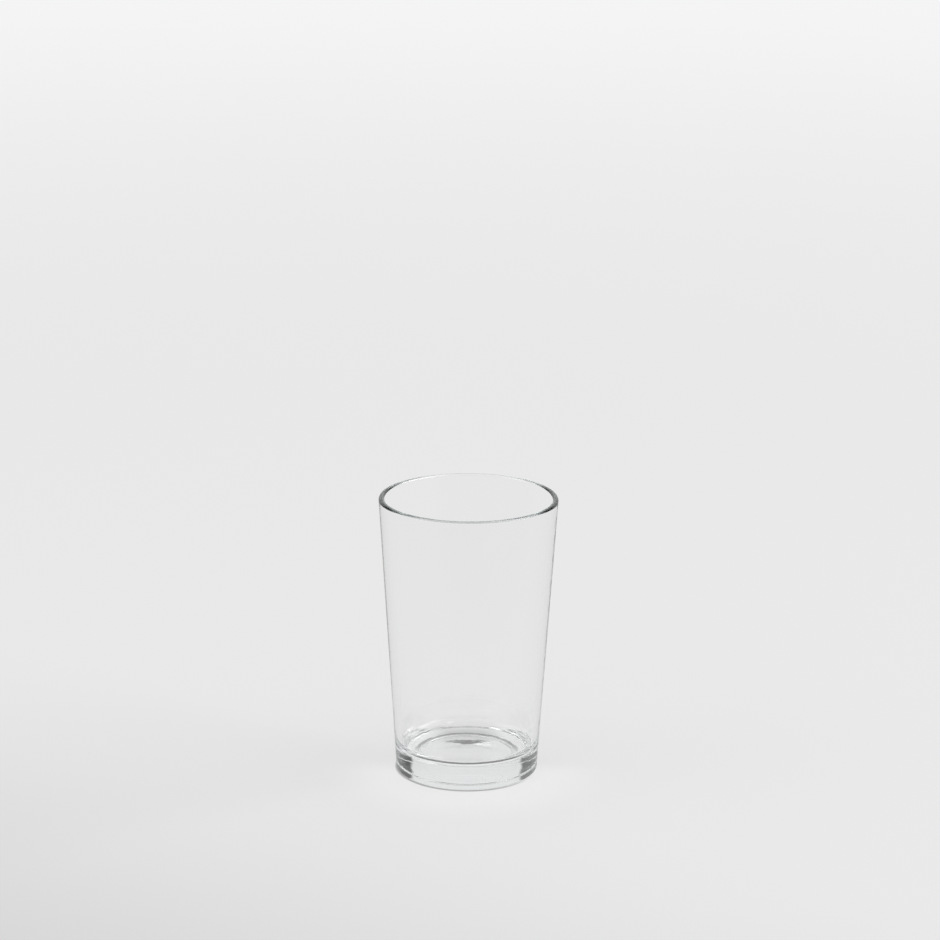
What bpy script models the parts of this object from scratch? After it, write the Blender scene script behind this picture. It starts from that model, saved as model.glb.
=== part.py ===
"""A clear pressed-glass water tumbler: one piece of glass, turned about the Z axis.

Metres, +Z up. The origin is the centre of the foot, on the table.
"""
import math

import bmesh
import bpy
import numpy as np
from mathutils import Vector

# Outside of the glass
HEIGHT = 0.1050               # from the table to the top of the rim
RIM_RADIUS = 0.0331           # outside of the wall, carried up to the top of the rim
FOOT_RADIUS = 0.02735         # outside of the glass where the wall meets the foot
FOOT_HEIGHT = 0.0163          # height at which the wall meets the steeper foot
HEEL_RADIUS = 0.02635         # outside of the foot, carried down to the underside
HEEL_ROUND = 0.0005           # rounding between the foot and the underside

# Inside of the glass
RIM_WALL = 0.0021             # thickness of the wall at the rim
RIM_FLAT = 0.0001             # flat that the rounded rim keeps on its top
BASE_WALL = 0.0026            # thickness of the wall level with the floor
FLOOR_HEIGHT = 0.0079         # from the table to the floor inside the glass
FLOOR_ROUND = 0.0050          # rounding between the floor and the wall

# Underside
UNDERSIDE_LIFT = 0.0002       # from the table up to the underside between the ring and the heel
RING_RADIUS = 0.0185          # outside of the ring that the glass stands on
RING_WIDTH = 0.0012           # width of that ring
PANEL_DEPTH = 0.0004          # from the table up to the flat panel inside the ring
PANEL_WIDTH = 0.0031          # flat panel between the ring and the dome
DOME_RISE = 0.0007            # rise of the shallow dome in the middle, above the panel

# Facets
TURN_STEPS = 64
RIM_STEPS = 5
FLOOR_STEPS = 7
HEEL_STEPS = 3
DOME_STEPS = 4
SHARP_ANGLE = math.radians(35)

# Clear soda-lime glass
GLASS_COLOUR = (0.93, 0.97, 0.96, 1.0)
GLASS_ROUGHNESS = 0.02
GLASS_METALLIC = 0.0
GLASS_IOR = 1.52


def clear_scene():
    """Remove every object, so that the file holds only the tumbler."""
    for thing in list(bpy.data.objects):
        bpy.data.objects.remove(thing, do_unlink=True)


def outside_radius(height):
    """Return the radius of the outside at a height between the heel and the rim."""
    heights = (UNDERSIDE_LIFT, FOOT_HEIGHT, HEIGHT)
    radii = (HEEL_RADIUS, FOOT_RADIUS, RIM_RADIUS)
    return float(np.interp(height, heights, radii))


def round_corner(before, corner, after, radius, steps):
    """Return the points of the arc that rounds a corner between its two neighbours."""
    to_before = (before - corner).normalized()
    to_after = (after - corner).normalized()
    half_angle = to_before.angle(to_after) / 2
    reach = radius / math.tan(half_angle)
    centre = corner + (to_before + to_after).normalized() * (radius / math.sin(half_angle))
    start = (corner + to_before * reach - centre).normalized()
    end = (corner + to_after * reach - centre).normalized()
    return [centre + start.slerp(end, step / steps) * radius for step in range(steps + 1)]


def dome(edge_radius, edge_height):
    """Return the underside's dome, from just inside its edge to the axis."""
    sphere_radius = (edge_radius ** 2 + DOME_RISE ** 2) / (2 * DOME_RISE)
    top = edge_height + DOME_RISE
    points = []
    for step in range(1, DOME_STEPS + 1):
        radius = edge_radius * (1 - step / DOME_STEPS)
        drop = sphere_radius - math.sqrt(sphere_radius ** 2 - radius ** 2)
        points.append(Vector((radius, top - drop)))
    return points


def half_section():
    """Return the outline from the middle of the floor, over the rim, to the middle of the underside."""
    rim_round = (RIM_WALL - RIM_FLAT) / 2
    ring_inner = RING_RADIUS - RING_WIDTH
    dome_edge = ring_inner - PANEL_WIDTH
    # Each corner is its radius from the axis, its height, its rounding and the steps of that rounding.
    corners = (
        (0, FLOOR_HEIGHT, 0, 0),
        (outside_radius(FLOOR_HEIGHT) - BASE_WALL, FLOOR_HEIGHT, FLOOR_ROUND, FLOOR_STEPS),
        (RIM_RADIUS - RIM_WALL, HEIGHT, rim_round, RIM_STEPS),
        (RIM_RADIUS, HEIGHT, rim_round, RIM_STEPS),
        (FOOT_RADIUS, FOOT_HEIGHT, 0, 0),
        (HEEL_RADIUS, UNDERSIDE_LIFT, HEEL_ROUND, HEEL_STEPS),
        (RING_RADIUS, UNDERSIDE_LIFT, 0, 0),
        (RING_RADIUS, 0, 0, 0),
        (ring_inner, 0, 0, 0),
        (ring_inner, PANEL_DEPTH, 0, 0),
        (dome_edge, PANEL_DEPTH, 0, 0),
    )
    places = [Vector(corner[:2]) for corner in corners]
    points = []
    for index, (_, _, rounding, steps) in enumerate(corners):
        if rounding:
            points += round_corner(*places[index - 1:index + 2], rounding, steps)
        else:
            points.append(places[index])
    return points + dome(dome_edge, PANEL_DEPTH)


def clear_glass():
    """Return the material of the tumbler."""
    material = bpy.data.materials.new("clear_glass")
    material.use_nodes = True
    shader = material.node_tree.nodes["Principled BSDF"]
    shader.inputs["Base Color"].default_value = GLASS_COLOUR
    shader.inputs["Roughness"].default_value = GLASS_ROUGHNESS
    shader.inputs["Metallic"].default_value = GLASS_METALLIC
    shader.inputs["IOR"].default_value = GLASS_IOR
    shader.inputs["Transmission Weight"].default_value = 1.0
    return material


def turned(name, outline, material):
    """Turn an outline that starts and ends on the Z axis into one closed object."""
    shape = bmesh.new()
    verts = [shape.verts.new((radius, 0, height)) for radius, height in outline]
    edges = [shape.edges.new(pair) for pair in zip(verts, verts[1:])]
    bmesh.ops.spin(
        shape, geom=verts + edges, cent=(0, 0, 0), axis=(0, 0, 1),
        angle=2 * math.pi, steps=TURN_STEPS, use_merge=True)
    bmesh.ops.remove_doubles(shape, verts=shape.verts, dist=1e-6)
    bmesh.ops.recalc_face_normals(shape, faces=shape.faces)
    mesh = bpy.data.meshes.new(name)
    shape.to_mesh(mesh)
    shape.free()
    mesh.shade_smooth()
    mesh.set_sharp_from_angle(angle=SHARP_ANGLE)
    mesh.materials.append(material)
    piece = bpy.data.objects.new(name, mesh)
    bpy.context.scene.collection.objects.link(piece)
    return piece


def main():
    """Build the tumbler."""
    clear_scene()
    turned("tumbler", half_section(), clear_glass())


main()
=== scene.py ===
"""Looks of the water tumbler: one piece of clear pressed glass on a pale studio floor."""
import logging
import math
from dataclasses import dataclass, field
from enum import Enum

import bmesh
import bpy
from mathutils import Matrix, Vector


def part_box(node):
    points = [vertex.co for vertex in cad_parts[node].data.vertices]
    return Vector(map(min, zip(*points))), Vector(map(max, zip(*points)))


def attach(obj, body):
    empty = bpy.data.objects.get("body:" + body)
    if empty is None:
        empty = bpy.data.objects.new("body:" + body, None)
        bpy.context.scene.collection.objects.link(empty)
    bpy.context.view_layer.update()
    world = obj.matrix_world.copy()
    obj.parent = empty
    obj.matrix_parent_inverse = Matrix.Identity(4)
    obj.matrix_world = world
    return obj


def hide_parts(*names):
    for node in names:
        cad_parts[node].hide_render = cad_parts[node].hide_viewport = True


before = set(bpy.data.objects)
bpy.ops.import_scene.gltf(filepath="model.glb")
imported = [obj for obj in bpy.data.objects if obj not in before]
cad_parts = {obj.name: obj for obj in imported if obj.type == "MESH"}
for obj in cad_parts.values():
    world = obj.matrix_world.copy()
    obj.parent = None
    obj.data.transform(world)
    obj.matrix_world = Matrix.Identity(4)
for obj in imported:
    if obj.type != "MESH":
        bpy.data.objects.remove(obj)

log = logging.getLogger("water_tumbler")

MM = 0.001
PHOTO_WIDTH_PX = 940
# The wall's outside, carried up to the top of the rim, ends this far outside the rim's widest place.
RIM_CARRY = 0.06 * MM
# Keeps a distance that is divided by from being zero.
SHORTEST_RUN = 0.0001
# A soft edge that is passed everywhere, as no distance is below zero.
FROM_THE_MIDDLE = (-2.0, -1.0)


class Signal:
    """A shader socket that Python's operators work on: each operation adds a Math node."""

    def __init__(self, graph: "Graph", socket: bpy.types.NodeSocket) -> None:
        """Keep the socket and the graph that it belongs to."""
        self.graph = graph
        self.socket = socket

    def math(self, operation: str, *others: "Signal | float") -> "Signal":
        """Add a Math node whose first input is this socket.

        Args:
            operation: The Math node's operation.
            *others: The node's further inputs.

        Returns:
            The node's result.
        """
        values = dict(enumerate((self, *others)))
        return self.graph.node("ShaderNodeMath", {"operation": operation}, values)

    def reflected(self, operation: str, first: float) -> "Signal":
        """Add a Math node whose second input is this socket.

        Args:
            operation: The Math node's operation.
            first: The node's first input.

        Returns:
            The node's result.
        """
        return self.graph.node("ShaderNodeMath", {"operation": operation}, {0: first, 1: self})

    def __add__(self, other: "Signal | float") -> "Signal":
        """Return this socket plus another value."""
        return self.math("ADD", other)

    def __radd__(self, other: float) -> "Signal":
        """Return a number plus this socket."""
        return self.reflected("ADD", other)

    def __sub__(self, other: "Signal | float") -> "Signal":
        """Return this socket minus another value."""
        return self.math("SUBTRACT", other)

    def __rsub__(self, other: float) -> "Signal":
        """Return a number minus this socket."""
        return self.reflected("SUBTRACT", other)

    def __mul__(self, other: "Signal | float") -> "Signal":
        """Return this socket times another value."""
        return self.math("MULTIPLY", other)

    def __rmul__(self, other: float) -> "Signal":
        """Return a number times this socket."""
        return self.reflected("MULTIPLY", other)

    def __truediv__(self, other: "Signal | float") -> "Signal":
        """Return this socket divided by another value."""
        return self.math("DIVIDE", other)

    def __rtruediv__(self, other: float) -> "Signal":
        """Return a number divided by this socket."""
        return self.reflected("DIVIDE", other)

    def step(self, low: float, high: float) -> "Signal":
        """Return a smooth step of this socket.

        Args:
            low: The value at and below which the step is 0.
            high: The value at and above which the step is 1.

        Returns:
            The step, from 0 to 1.
        """
        return self.graph.node(
            "ShaderNodeMapRange", {"interpolation_type": "SMOOTHSTEP"},
            {"Value": self, "From Min": low, "From Max": high})


class Graph:
    """The node tree of a material or of the world."""

    def __init__(self, tree: bpy.types.NodeTree) -> None:
        """Take over a node tree and empty it."""
        self.tree = tree
        tree.nodes.clear()

    def node(
        self,
        kind: str,
        settings: dict[str, object] | None = None,
        inputs: dict[str | int, object] | None = None,
        output: str | int = 0,
    ) -> Signal:
        """Add any node.

        Args:
            kind: The node's type.
            settings: The node's own settings, which are set first.
            inputs: Values or signals for the node's input sockets.
            output: The output socket to hand back.

        Returns:
            The chosen output, or an empty signal where the node has none.
        """
        made = self.tree.nodes.new(kind)
        for name, value in (settings or {}).items():
            setattr(made, name, value)
        for name, value in (inputs or {}).items():
            if isinstance(value, Signal):
                self.tree.links.new(value.socket, made.inputs[name])
            else:
                made.inputs[name].default_value = value
        return Signal(self, made.outputs[output] if len(made.outputs) else None)

    def mix_colour(self, share: Signal, first: Signal | tuple, second: Signal | tuple) -> Signal:
        """Mix two colours.

        Args:
            share: How much of the second colour shows, from 0 to 1.
            first: The first colour.
            second: The second colour.

        Returns:
            The mixed colour.
        """
        return self.node("ShaderNodeMix", {"data_type": "RGBA"}, {0: share, 6: first, 7: second}, 2)

    def split(self, vector: Signal) -> list[Signal]:
        """Return a vector's X, Y and Z."""
        return [self.node("ShaderNodeSeparateXYZ", inputs={"Vector": vector}, output=axis) for axis in "XYZ"]

    def length(self, vector: Signal) -> Signal:
        """Return a vector's length."""
        return self.node("ShaderNodeVectorMath", {"operation": "LENGTH"}, {0: vector}, "Value")

    def along(self, vector: Signal, way: tuple) -> Signal:
        """Return how far a vector runs along a direction."""
        return self.node("ShaderNodeVectorMath", {"operation": "DOT_PRODUCT"}, {0: vector, 1: way}, "Value")

    def noise(self, place: Signal, scale: float, detail: float) -> Signal:
        """Return a noise pattern of this scale and detail."""
        return self.node("ShaderNodeTexNoise", inputs={"Vector": place, "Scale": scale, "Detail": detail})

    def rays(self, *names: str) -> list[Signal]:
        """Return outputs of Light Path, which tell kinds of ray apart."""
        return [self.node("ShaderNodeLightPath", output=name) for name in names]


def grey(level: float) -> tuple[float, float, float, float]:
    """Return a neutral colour of this linear level."""
    return (level, level, level, 1.0)


@dataclass(frozen=True)
class ClearGlass:
    """Clear soda-lime glass: fire-polished, faintly green where it is thick, scuffed where it stands.

    A pair of sizes is where a soft edge begins and ends.
    """

    name: str = "clear_glass"
    ior: float = 1.52
    absorption_colour: tuple = (0.80, 0.90, 0.90, 1.0)
    absorption_density: float = 2.5
    # Tint: faintly green in the base; painted shade darkens the outside of the rim's front half
    wall_colour: tuple = (1.0, 1.0, 1.0, 1.0)
    base_colour: tuple = (0.985, 1.0, 0.995, 1.0)
    base_top: tuple = (0.0, 12 * MM)
    lip_shade_colour: tuple = (0.50, 0.52, 0.52, 1.0)
    lip_shade_outside: tuple = (31.9 * MM, 32.2 * MM)
    lip_shade_bottom: tuple = (104.3 * MM, 104.5 * MM)
    lip_shade_back: tuple = (-6 * MM, 2 * MM)
    # Polish, and scuffs on the ring that the glass stands on
    polish: float = 0.004
    scuff: float = 0.10
    scuff_top: tuple = (0.06 * MM, 0.12 * MM)
    scuff_scale: float = 900.0
    scuff_detail: float = 4.0
    scuff_cover: tuple = (0.45, 0.75)
    # Skin all over, and waves on the outside of the foot and, fainter, on one side of the wall
    skin_depth: float = 0.001 * MM
    skin_scale: float = 160.0
    wave_depth: float = 0.06 * MM
    wave_scale: float = 260.0
    relief_detail: float = 1.0
    wave_outside: tuple = (25.6 * MM, 26.3 * MM)
    wave_top: tuple = (18 * MM, 26 * MM)
    wall_wave: float = 0.25
    wall_wave_side: tuple = (5 * MM, 20 * MM)
    wall_wave_top: tuple = (97 * MM, 101 * MM)

    def material(self) -> bpy.types.Material:
        """Build the material.

        Returns:
            The glass, faintly green in the base, with painted shade on the outside of the rim's front half,
            its scuffed foot and the faint orange-peel skin of pressed glass.
        """
        made = bpy.data.materials.new(self.name)
        made.use_nodes = True
        graph = Graph(made.node_tree)
        place = graph.node("ShaderNodeTexCoord", output="Object")
        side, depth, height = graph.split(place)
        radius = (side * side + depth * depth).math("SQRT")
        tint_and_lip_shade = graph.mix_colour(height.step(*self.base_top), self.base_colour, self.wall_colour)
        # Painted shade: the outside of the rim's front half is darkened, which draws the rim's dark front line
        lip_shade = radius.step(*self.lip_shade_outside) * height.step(*self.lip_shade_bottom) * (1 - depth.step(*self.lip_shade_back))
        tint_and_lip_shade = graph.mix_colour(lip_shade, tint_and_lip_shade, self.lip_shade_colour)
        scratches = graph.noise(place, self.scuff_scale, self.scuff_detail).step(*self.scuff_cover)
        standing = 1 - height.step(*self.scuff_top)
        roughness = self.polish + standing * scratches * self.scuff
        low = 1 - height.step(*self.wave_top)
        wall = side.step(*self.wall_wave_side) * (1 - height.step(*self.wall_wave_top)) * self.wall_wave
        wavy = low * radius.step(*self.wave_outside) + (1 - low) * wall
        skin = graph.noise(place, self.skin_scale, self.relief_detail)
        waves = graph.noise(place, self.wave_scale, self.relief_detail)
        relief = skin * self.skin_depth + waves * wavy * self.wave_depth
        normal = graph.node("ShaderNodeBump", inputs={"Height": relief, "Distance": 1.0})
        surface = graph.node("ShaderNodeBsdfPrincipled", inputs={
            "Base Color": tint_and_lip_shade,
            "Roughness": roughness,
            "IOR": self.ior,
            "Transmission Weight": 1.0,
            "Normal": normal,
        })
        volume = graph.node("ShaderNodeVolumeAbsorption", inputs={
            "Color": self.absorption_colour,
            "Density": self.absorption_density,
        })
        graph.node("ShaderNodeOutputMaterial", inputs={"Surface": surface, "Volume": volume})
        return made


@dataclass(frozen=True)
class Corner:
    """A corner of the tumbler's half section."""

    radius: float
    height: float
    rounding: float = 0.0
    segments: int = 1

    @property
    def place(self) -> Vector:
        """Return the corner in the section's plane."""
        return Vector((self.radius, 0.0, self.height))

    def reach(self, before: "Corner", after: "Corner") -> float:
        """Return how far the rounding runs along each side of the corner.

        Args:
            before: The corner before this one.
            after: The corner after this one.

        Returns:
            The distance from the corner to the start of its arc.
        """
        opening = (before.place - self.place).angle(after.place - self.place)
        return self.rounding / math.tan(opening / 2)


@dataclass(frozen=True)
class Knurling:
    """Fine radial cuts across the ring that the glass stands on."""

    cuts: int = 160
    depth: float = 0.20 * MM
    share: float = 0.5
    offset: float = 0.1

    def cut(self, angle: float) -> float:
        """Return how deep the ring is cut at this angle about the axis."""
        phase = (angle * self.cuts / math.tau + self.offset) % 1.0
        return self.depth if phase < self.share else 0.0


@dataclass
class Tumbler:
    """The whole glass, turned about the Z axis."""

    height: float
    rim_radius: float
    foot_radius: float = 27.35 * MM
    foot_height: float = 16.3 * MM
    foot_blend: float = 160 * MM
    heel_radius: float = 26.35 * MM
    heel_round: float = 0.5 * MM
    rim_wall: float = 2.1 * MM
    rim_fullness: float = 0.48
    base_wall: float = 2.6 * MM
    floor_height: float = 7.9 * MM
    floor_round: float = 5.0 * MM
    underside_lift: float = 0.20 * MM
    ring_outer: float = 18.5 * MM
    ring_inner: float = 17.3 * MM
    recess: float = 0.4 * MM
    edge_round: float = 0.08 * MM
    dome_edge: float = 14.2 * MM
    dome_edge_round: float = 55 * MM
    dome_crown: float = 4.2 * MM
    dome_slope: float = 0.068
    # Share of the most that the crown's rounding can take up, which is twice the crown over the slope
    crown_fullness: float = 0.98
    # Steps of each rounding, and of a quarter turn
    floor_steps: int = 28
    rim_steps: int = 10
    foot_steps: int = 4
    heel_steps: int = 12
    edge_steps: int = 2
    dome_edge_steps: int = 8
    crown_steps: int = 16
    quarter_steps: int = 120
    weld: float = 0.0005 * MM
    longest_edge: float = 3.0 * MM
    knurling: Knurling = field(default_factory=Knurling)

    def outside_radius(self, height: float) -> float:
        """Return the radius of the outside of the foot at a height.

        Args:
            height: A height up to the top of the foot.

        Returns:
            The radius there.
        """
        return self.heel_radius + (self.foot_radius - self.heel_radius) * height / self.foot_height

    def corners(self) -> list[Corner]:
        """Return the half section's corners, from the middle of the floor to the middle of the underside."""
        rim_round = self.rim_wall * self.rim_fullness
        dome_top = self.recess + self.dome_slope * (self.dome_edge - self.dome_crown)
        crown_round = self.crown_fullness * 2 * self.dome_crown / self.dome_slope
        floor_corner = self.outside_radius(self.floor_height) - self.base_wall
        return [
            Corner(0, self.floor_height),
            Corner(floor_corner, self.floor_height, self.floor_round, self.floor_steps),
            Corner(self.rim_radius - self.rim_wall, self.height, rim_round, self.rim_steps),
            Corner(self.rim_radius, self.height, rim_round, self.rim_steps),
            Corner(self.foot_radius, self.foot_height, self.foot_blend, self.foot_steps),
            Corner(self.heel_radius, self.underside_lift, self.heel_round, self.heel_steps),
            Corner(self.ring_outer, self.underside_lift, self.edge_round, self.edge_steps),
            Corner(self.ring_outer, 0, self.edge_round, self.edge_steps),
            Corner(self.ring_inner, 0, self.edge_round, self.edge_steps),
            Corner(self.ring_inner, self.recess, self.edge_round, self.edge_steps),
            Corner(self.dome_edge, self.recess, self.dome_edge_round, self.dome_edge_steps),
            Corner(self.dome_crown, dome_top, crown_round, self.crown_steps),
            Corner(0, dome_top),
        ]

    def section(self, shape: bmesh.types.BMesh) -> None:
        """Draw the half section, round its corners and divide its long stretches.

        Args:
            shape: The empty mesh that takes the section.
        """
        corners = self.corners()
        verts = [shape.verts.new(corner.place) for corner in corners]
        for pair in zip(verts, verts[1:]):
            shape.edges.new(pair)
        for before, corner, after, vert in zip(corners, corners[1:], corners[2:], verts[1:]):
            if corner.rounding:
                bmesh.ops.bevel(
                    shape, geom=[vert], offset=corner.reach(before, after), segments=corner.segments,
                    profile=0.5, affect="VERTICES", material=-1)
        for edge in list(shape.edges):
            cuts = math.ceil(edge.calc_length() / self.longest_edge) - 1
            if cuts > 0:
                bmesh.ops.subdivide_edges(shape, edges=[edge], cuts=cuts)

    def build(self) -> bpy.types.Object:
        """Turn the section into the glass.

        Returns:
            The finished glass, at the origin.
        """
        shape = bmesh.new()
        self.section(shape)
        bmesh.ops.spin(
            shape, geom=shape.verts[:] + shape.edges[:], cent=(0, 0, 0), axis=(0, 0, 1),
            angle=math.tau / 4, steps=self.quarter_steps)
        for axis in "XY":
            bmesh.ops.mirror(
                shape, geom=shape.verts[:] + shape.edges[:] + shape.faces[:], matrix=Matrix.Identity(4),
                merge_dist=self.weld, axis=axis)
        bmesh.ops.remove_doubles(shape, verts=shape.verts, dist=self.weld)
        bmesh.ops.recalc_face_normals(shape, faces=shape.faces)
        self.knurl(shape)
        mesh = bpy.data.meshes.new("glass_tumbler")
        shape.to_mesh(mesh)
        shape.free()
        mesh.shade_smooth()
        piece = bpy.data.objects.new("glass_tumbler", mesh)
        bpy.context.scene.collection.objects.link(piece)
        piece.modifiers.new("true_normals", "WEIGHTED_NORMAL").mode = "FACE_AREA"
        return piece

    def knurl(self, shape: bmesh.types.BMesh) -> None:
        """Cut the knurling into the ring that the glass stands on.

        Args:
            shape: The turned glass.
        """
        for vert in shape.verts:
            radius = math.hypot(vert.co.x, vert.co.y)
            if self.ring_inner < radius < self.ring_outer and vert.co.z < self.edge_round:
                vert.co.z += self.knurling.cut(math.atan2(vert.co.y, vert.co.x))

    def dress(self, piece: bpy.types.Object, finish: ClearGlass) -> None:
        """Give the glass its finish and its place in the frame.

        Args:
            piece: The finished glass.
            finish: The glass that it is made of.
        """
        piece.data.materials.append(finish.material())
        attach(piece, "root")
        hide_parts("tumbler")


@dataclass(frozen=True)
class SoftBox:
    """A soft box that faces the glass: its place and size in metres, its radiance and what it reaches."""

    place: tuple
    width: float
    height: float
    radiance: float
    lights_floor: bool
    shows_through_glass: bool


class Lamp(Enum):
    """The studio's soft boxes."""

    KEY = SoftBox((1.30, 0.00, 1.10), 1.40, 0.50, 2.4, lights_floor=True, shows_through_glass=True)
    FILL = SoftBox((-0.95, -0.20, 0.95), 0.60, 0.60, 1.3, lights_floor=True, shows_through_glass=False)
    CARD = SoftBox((1.20, 0.05, 1.50), 1.30, 1.70, 2.6, lights_floor=False, shows_through_glass=False)

    def build(self) -> bpy.types.Object:
        """Hang the soft box.

        Returns:
            The lamp.
        """
        box = self.value
        name = "soft_box_" + self.name.lower()
        light = bpy.data.lights.new(name, "AREA")
        light.shape = "RECTANGLE"
        light.size = box.width
        light.size_y = box.height
        light.energy = box.radiance * math.pi * box.width * box.height
        lamp = bpy.data.objects.new(name, light)
        lamp.location = box.place
        lamp.rotation_mode = "QUATERNION"
        lamp.rotation_quaternion = (-Vector(box.place)).to_track_quat("-Z", "Y")
        lamp.visible_camera = False
        lamp.visible_transmission = box.shows_through_glass
        lamp.visible_diffuse = box.lights_floor
        bpy.context.scene.collection.objects.link(lamp)
        return lamp


@dataclass(frozen=True)
class PaintedFloorLight:
    """A soft ring of painted light, or of painted shade where its strength is negative, on the floor round the
    glass, on part of its round.

    Attributes:
        rise: The distances from the axis at which the ring begins and is full.
        fall: The distances from the axis at which it begins to fade and is gone.
        bearing: The cosines of the angle from `towards` at which it begins and is full.
        strength: The share of the floor's level that it adds, or takes away where it is negative.
        towards: The level direction that its bearing is taken from.
    """

    rise: tuple
    fall: tuple
    bearing: tuple
    strength: float
    towards: tuple = (0.0, 1.0, 0.0)

    def level(self, graph: Graph, place: Signal) -> Signal:
        """Return how light the floor is with this painted light or shade.

        Args:
            graph: The floor's node tree.
            place: The place on the floor.

        Returns:
            1 away from the ring, more where it paints light and less where it paints shade.
        """
        distance = graph.length(place)
        bearing = graph.along(place, self.towards) / distance.math("MAXIMUM", MM)
        painted_patch = distance.step(*self.rise) * (1 - distance.step(*self.fall)) * bearing.step(*self.bearing)
        return painted_patch * self.strength + 1


@dataclass(frozen=True)
class PalePaper:
    """The floor's pale paper, which the camera and the glass see at an evener level than the lamps give."""

    name: str = "pale_paper"
    roughness: float = 0.9
    shine: float = 0.1
    # The paper's colour holds painted light and shade: lighter further from the glass, and darker towards the
    # front left
    near: float = 0.80
    far: float = 0.925
    far_stretch: tuple = (0.45, 2.6)
    shaded: float = 0.64
    shaded_way: tuple = (-0.52, -0.85, 0.0)
    shaded_stretch: tuple = (0.02, 0.30)
    evened: float = 0.75
    evened_in_glass: float = 0.9
    # Painted shade: the floor's own level where it shows in reflections on the glass, lower than elsewhere,
    # which darkens the glass's edges
    shade_in_reflection: float = 0.6
    # Painted light and shade on the floor, which count only where the floor shows through the glass
    painted_light_through_glass: tuple = (
        # Painted shade under the front of the heel, which draws the dark line along the front of the floor
        # inside the glass
        PaintedFloorLight((22.0 * MM, 25.5 * MM), (27 * MM, 29 * MM), (0.1, -0.6), -0.90),
        # Shade behind the standing ring
        PaintedFloorLight((12 * MM, 17 * MM), (19 * MM, 31 * MM), (0.70, 0.97), -0.30),
        # Shade of the standing ring itself
        PaintedFloorLight((18.0 * MM, 19.2 * MM), (19.8 * MM, 21.0 * MM), (-0.2, 0.5), -0.75),
        # Painted light, which draws the pale crescents at both ends of the rounding inside the glass
        PaintedFloorLight((18.5 * MM, 21 * MM), (27 * MM, 40 * MM), (0.97, 0.80), 0.15),
        # Painted shade on the floor just behind the heel, which draws the dark lens in the middle of the floor
        # inside the glass
        PaintedFloorLight((26.45 * MM, 26.6 * MM), (26.85 * MM, 27.0 * MM), (0.88, 0.95), -0.80),
    )
    # Painted shadows and painted light on the floor where the camera sees it directly
    painted_light_in_view: tuple = (
        # Contact shadow at the heel
        PaintedFloorLight((25.2 * MM, 25.9 * MM), (26.3 * MM, 27.2 * MM), (-0.4, 0.7), -0.60, (-0.6, -0.8, 0.0)),
        # Light that the base gathers in front of the glass
        PaintedFloorLight(FROM_THE_MIDDLE, (28 * MM, 60 * MM), (0.2, -0.3), 0.10),
        # Soft shadow to the left
        PaintedFloorLight((28 * MM, 50 * MM), (120 * MM, 420 * MM), (0.80, 0.98), -0.035, (-1.0, 0.0, 0.0)),
    )

    def material(self) -> bpy.types.Material:
        """Build the material.

        Returns:
            The paper: lit by the lamps, and partly by itself for the camera and for what shows in the glass.
        """
        made = bpy.data.materials.new(self.name)
        made.use_nodes = True
        graph = Graph(made.node_tree)
        place = graph.node("ShaderNodeTexCoord", output="Object")
        far = graph.length(place).step(*self.far_stretch)
        colour = graph.mix_colour(far, grey(self.near), grey(self.far))
        shade = graph.along(place, self.shaded_way).step(*self.shaded_stretch)
        colour = graph.mix_colour(shade, colour, grey(self.shaded))
        paper = graph.node("ShaderNodeBsdfPrincipled", inputs={
            "Base Color": colour, "Roughness": self.roughness, "Specular IOR Level": self.shine})
        seen, through, shiny = graph.rays("Is Camera Ray", "Is Transmission Ray", "Is Glossy Ray")
        mirrored = shiny * (1 - through)
        lit = mirrored * self.shade_in_reflection
        for ray, painted_patches in ((seen, self.painted_light_in_view), (through, self.painted_light_through_glass)):
            levels = [painted_patch.level(graph, place) for painted_patch in painted_patches]
            lit = lit + math.prod(levels, start=ray)
        glow = graph.node("ShaderNodeVectorMath", {"operation": "SCALE"}, {0: colour, "Scale": lit})
        even = graph.node("ShaderNodeEmission", inputs={"Color": glow})
        evened = seen * self.evened + (through + mirrored) * self.evened_in_glass
        surface = graph.node("ShaderNodeMixShader", inputs={0: evened, 1: paper, 2: even})
        graph.node("ShaderNodeOutputMaterial", inputs={"Surface": surface})
        return made


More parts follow.
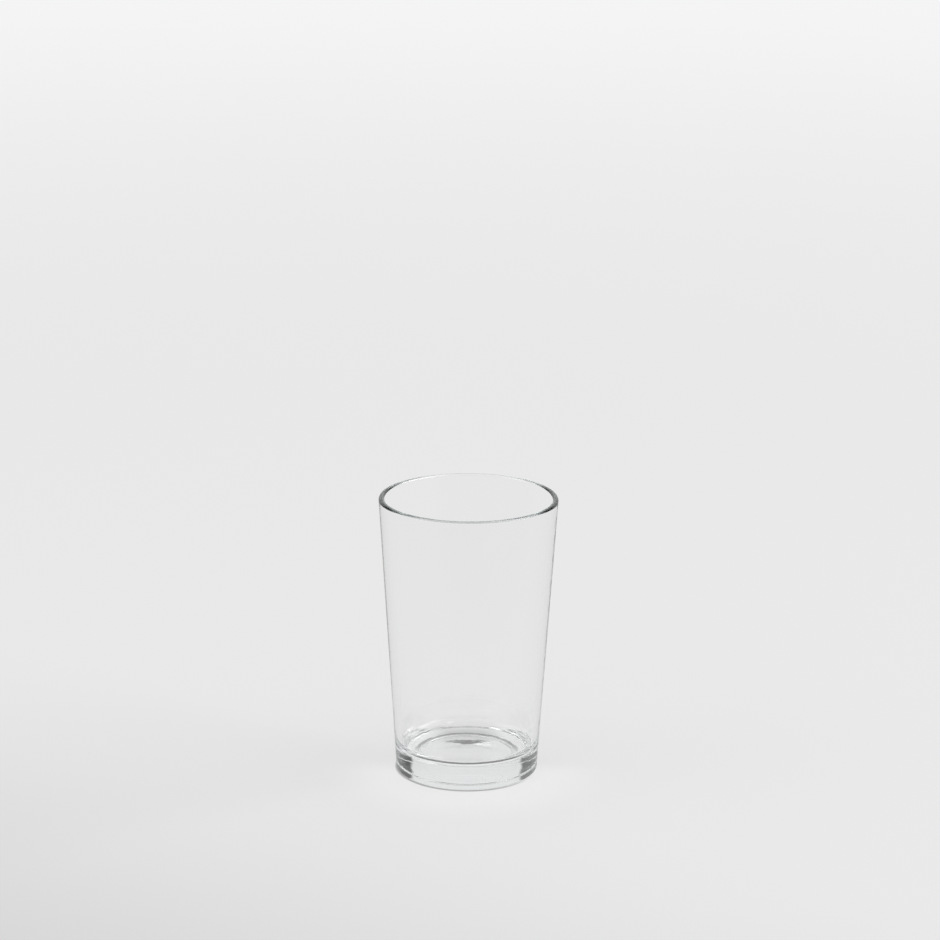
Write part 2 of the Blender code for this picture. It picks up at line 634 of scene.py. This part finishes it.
@dataclass(frozen=True)
class Surroundings:
    """What shows in the glass in place of the plain world: pale walls, dark panels and a dull ceiling.

    A pair of numbers is where a soft edge begins and ends. Heights are sines of the elevation. Widths are
    sines or cosines of the bearing, taken from straight behind the glass or from the camera.
    """

    walls: float = 0.78
    ceiling: float = 0.45
    ceiling_bottom: tuple = (0.90, 0.97)
    # Panels at both sides, the left one paler
    side_depth: float = 0.90
    side_width: tuple = (0.62, 0.70)
    side_front: tuple = (-0.15, 0.05)
    side_bottom: tuple = (0.05, 0.12)
    side_top: tuple = (0.50, 0.62)
    left_loss: float = 0.15
    left_edge: tuple = (0.0, 0.1)
    # Panel round the camera, with a top that rises twice towards its middle
    camera_depth: float = 0.90
    camera_width: tuple = (0.55, 0.75)
    camera_bottom: tuple = (0.34, 0.46)
    camera_top: tuple = (0.66, 0.71)
    camera_rises: tuple = ((0.75, 1.0), (0.950, 0.985))
    camera_rise: float = 0.09
    # Panel straight behind the glass
    far_depth: float = 0.95
    far_width: tuple = (0.90, 0.96)
    far_bottom: tuple = (0.55, 0.65)
    far_top: tuple = (0.70, 0.76)

    def level(self, graph: Graph, way: Signal) -> Signal:
        """Return how light the surroundings are in each direction.

        Args:
            graph: The world's node tree.
            way: The direction.

        Returns:
            The level there.
        """
        across, along, up = graph.split(way)
        run = (across * across + along * along).math("SQRT").math("MAXIMUM", SHORTEST_RUN)
        sideways = across.math("ABSOLUTE") / run
        behind = along / run
        before = 0 - behind
        sides = sideways.step(*self.side_width) * behind.step(*self.side_front)
        sides = sides * up.step(*self.side_bottom) * (1 - up.step(*self.side_top))
        sides = sides * (1 - (0 - across).step(*self.left_edge) * self.left_loss)
        rise = sum(before.step(*edge) for edge in self.camera_rises) * self.camera_rise
        camera = before.step(*self.camera_width) * up.step(*self.camera_bottom)
        camera = camera * (1 - (up - rise).step(*self.camera_top))
        far = behind.step(*self.far_width) * up.step(*self.far_bottom) * (1 - up.step(*self.far_top))
        ceiling = up.step(*self.ceiling_bottom)
        walls = self.walls * (1 - sides * self.side_depth)
        walls = walls * (1 - camera * self.camera_depth) * (1 - far * self.far_depth)
        return walls * (1 - ceiling) + ceiling * self.ceiling


@dataclass
class Studio:
    """Pale floor, soft light and the surroundings that clear glass shows along its edges."""

    floor_size: float = 24.0
    floor_gap: float = 0.15 * MM
    ambient: float = 0.92
    backdrop: float = 0.84
    paper: PalePaper = field(default_factory=PalePaper)
    surroundings: Surroundings = field(default_factory=Surroundings)

    def floor(self) -> bpy.types.Object:
        """Lay the floor.

        Returns:
            The floor, a little below the foot of the glass.
        """
        shape = bmesh.new()
        bmesh.ops.create_grid(shape, x_segments=1, y_segments=1, size=self.floor_size / 2)
        bmesh.ops.translate(shape, verts=shape.verts, vec=(0, 0, -self.floor_gap))
        mesh = bpy.data.meshes.new("studio_floor")
        shape.to_mesh(mesh)
        shape.free()
        mesh.materials.append(self.paper.material())
        floor = bpy.data.objects.new("studio_floor", mesh)
        bpy.context.scene.collection.objects.link(floor)
        return floor

    def world(self) -> bpy.types.World:
        """Build the light all round.

        Returns:
            The world: plain light for the floor, a pale backdrop for the camera, and the surroundings for
            what shows in the glass.
        """
        made = bpy.data.worlds.new("studio")
        made.use_nodes = True
        graph = Graph(made.node_tree)
        way = graph.node("ShaderNodeTexCoord", output="Generated")
        camera, shiny, through, scattered = graph.rays(
            "Is Camera Ray", "Is Glossy Ray", "Is Transmission Ray", "Diffuse Depth")
        in_glass = shiny.math("MAXIMUM", through) * (1 - scattered.math("MINIMUM", 1.0))
        lit = self.ambient * (1 - in_glass) + self.surroundings.level(graph, way) * in_glass
        strength = lit * (1 - camera) + self.backdrop * camera
        surface = graph.node("ShaderNodeBackground", inputs={"Color": grey(1.0), "Strength": strength})
        graph.node("ShaderNodeOutputWorld", inputs={"Surface": surface})
        bpy.context.scene.world = made
        return made


@dataclass
class Viewpoint:
    """The photograph's camera, fitted to the glass's outline."""

    place: tuple = (0.44 * MM, -1058.8 * MM, 408.5 * MM)
    pitch: float = math.radians(15.484)
    roll: float = math.radians(0.447)
    focal_px: float = 3000.0
    sensor: float = 36.0

    def build(self) -> bpy.types.Object:
        """Set up the camera.

        Returns:
            The camera, made the scene's own.
        """
        lens = bpy.data.cameras.new("camera")
        lens.sensor_width = self.sensor
        lens.lens = self.sensor * self.focal_px / PHOTO_WIDTH_PX
        camera = bpy.data.objects.new("camera", lens)
        tilt = Matrix.Rotation(math.pi / 2 - self.pitch, 4, "X")
        camera.matrix_world = Matrix.Translation(self.place) @ tilt @ Matrix.Rotation(self.roll, 4, "Z")
        bpy.context.scene.collection.objects.link(camera)
        bpy.context.scene.camera = camera
        return camera


def let_light_through(bounces: int = 64) -> None:
    """Let light bounce along inside the glass as often as its thin wall needs.

    Args:
        bounces: The most bounces that a path may have.
    """
    cycles = bpy.context.scene.cycles
    cycles.max_bounces = bounces
    cycles.transmission_bounces = bounces
    cycles.glossy_bounces = bounces


def main() -> None:
    """Build the glass and its studio."""
    logging.basicConfig(level=logging.INFO, format="%(name)s: %(message)s")
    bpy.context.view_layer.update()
    low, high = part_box("tumbler")
    tumbler = Tumbler(height=high.z, rim_radius=high.x + RIM_CARRY)
    piece = tumbler.build()
    tumbler.dress(piece, ClearGlass())
    log.info("%s: %d faces", piece.name, len(piece.data.polygons))
    studio = Studio()
    log.info("%s laid", studio.floor().name)
    log.info("%s lit", studio.world().name)
    for lamp in Lamp:
        log.info("%s hung", lamp.build().name)
    log.info("%s set", Viewpoint().build().name)
    let_light_through()
    bpy.context.scene.view_settings.view_transform = "Standard"


if __name__ == "__main__":
    main()
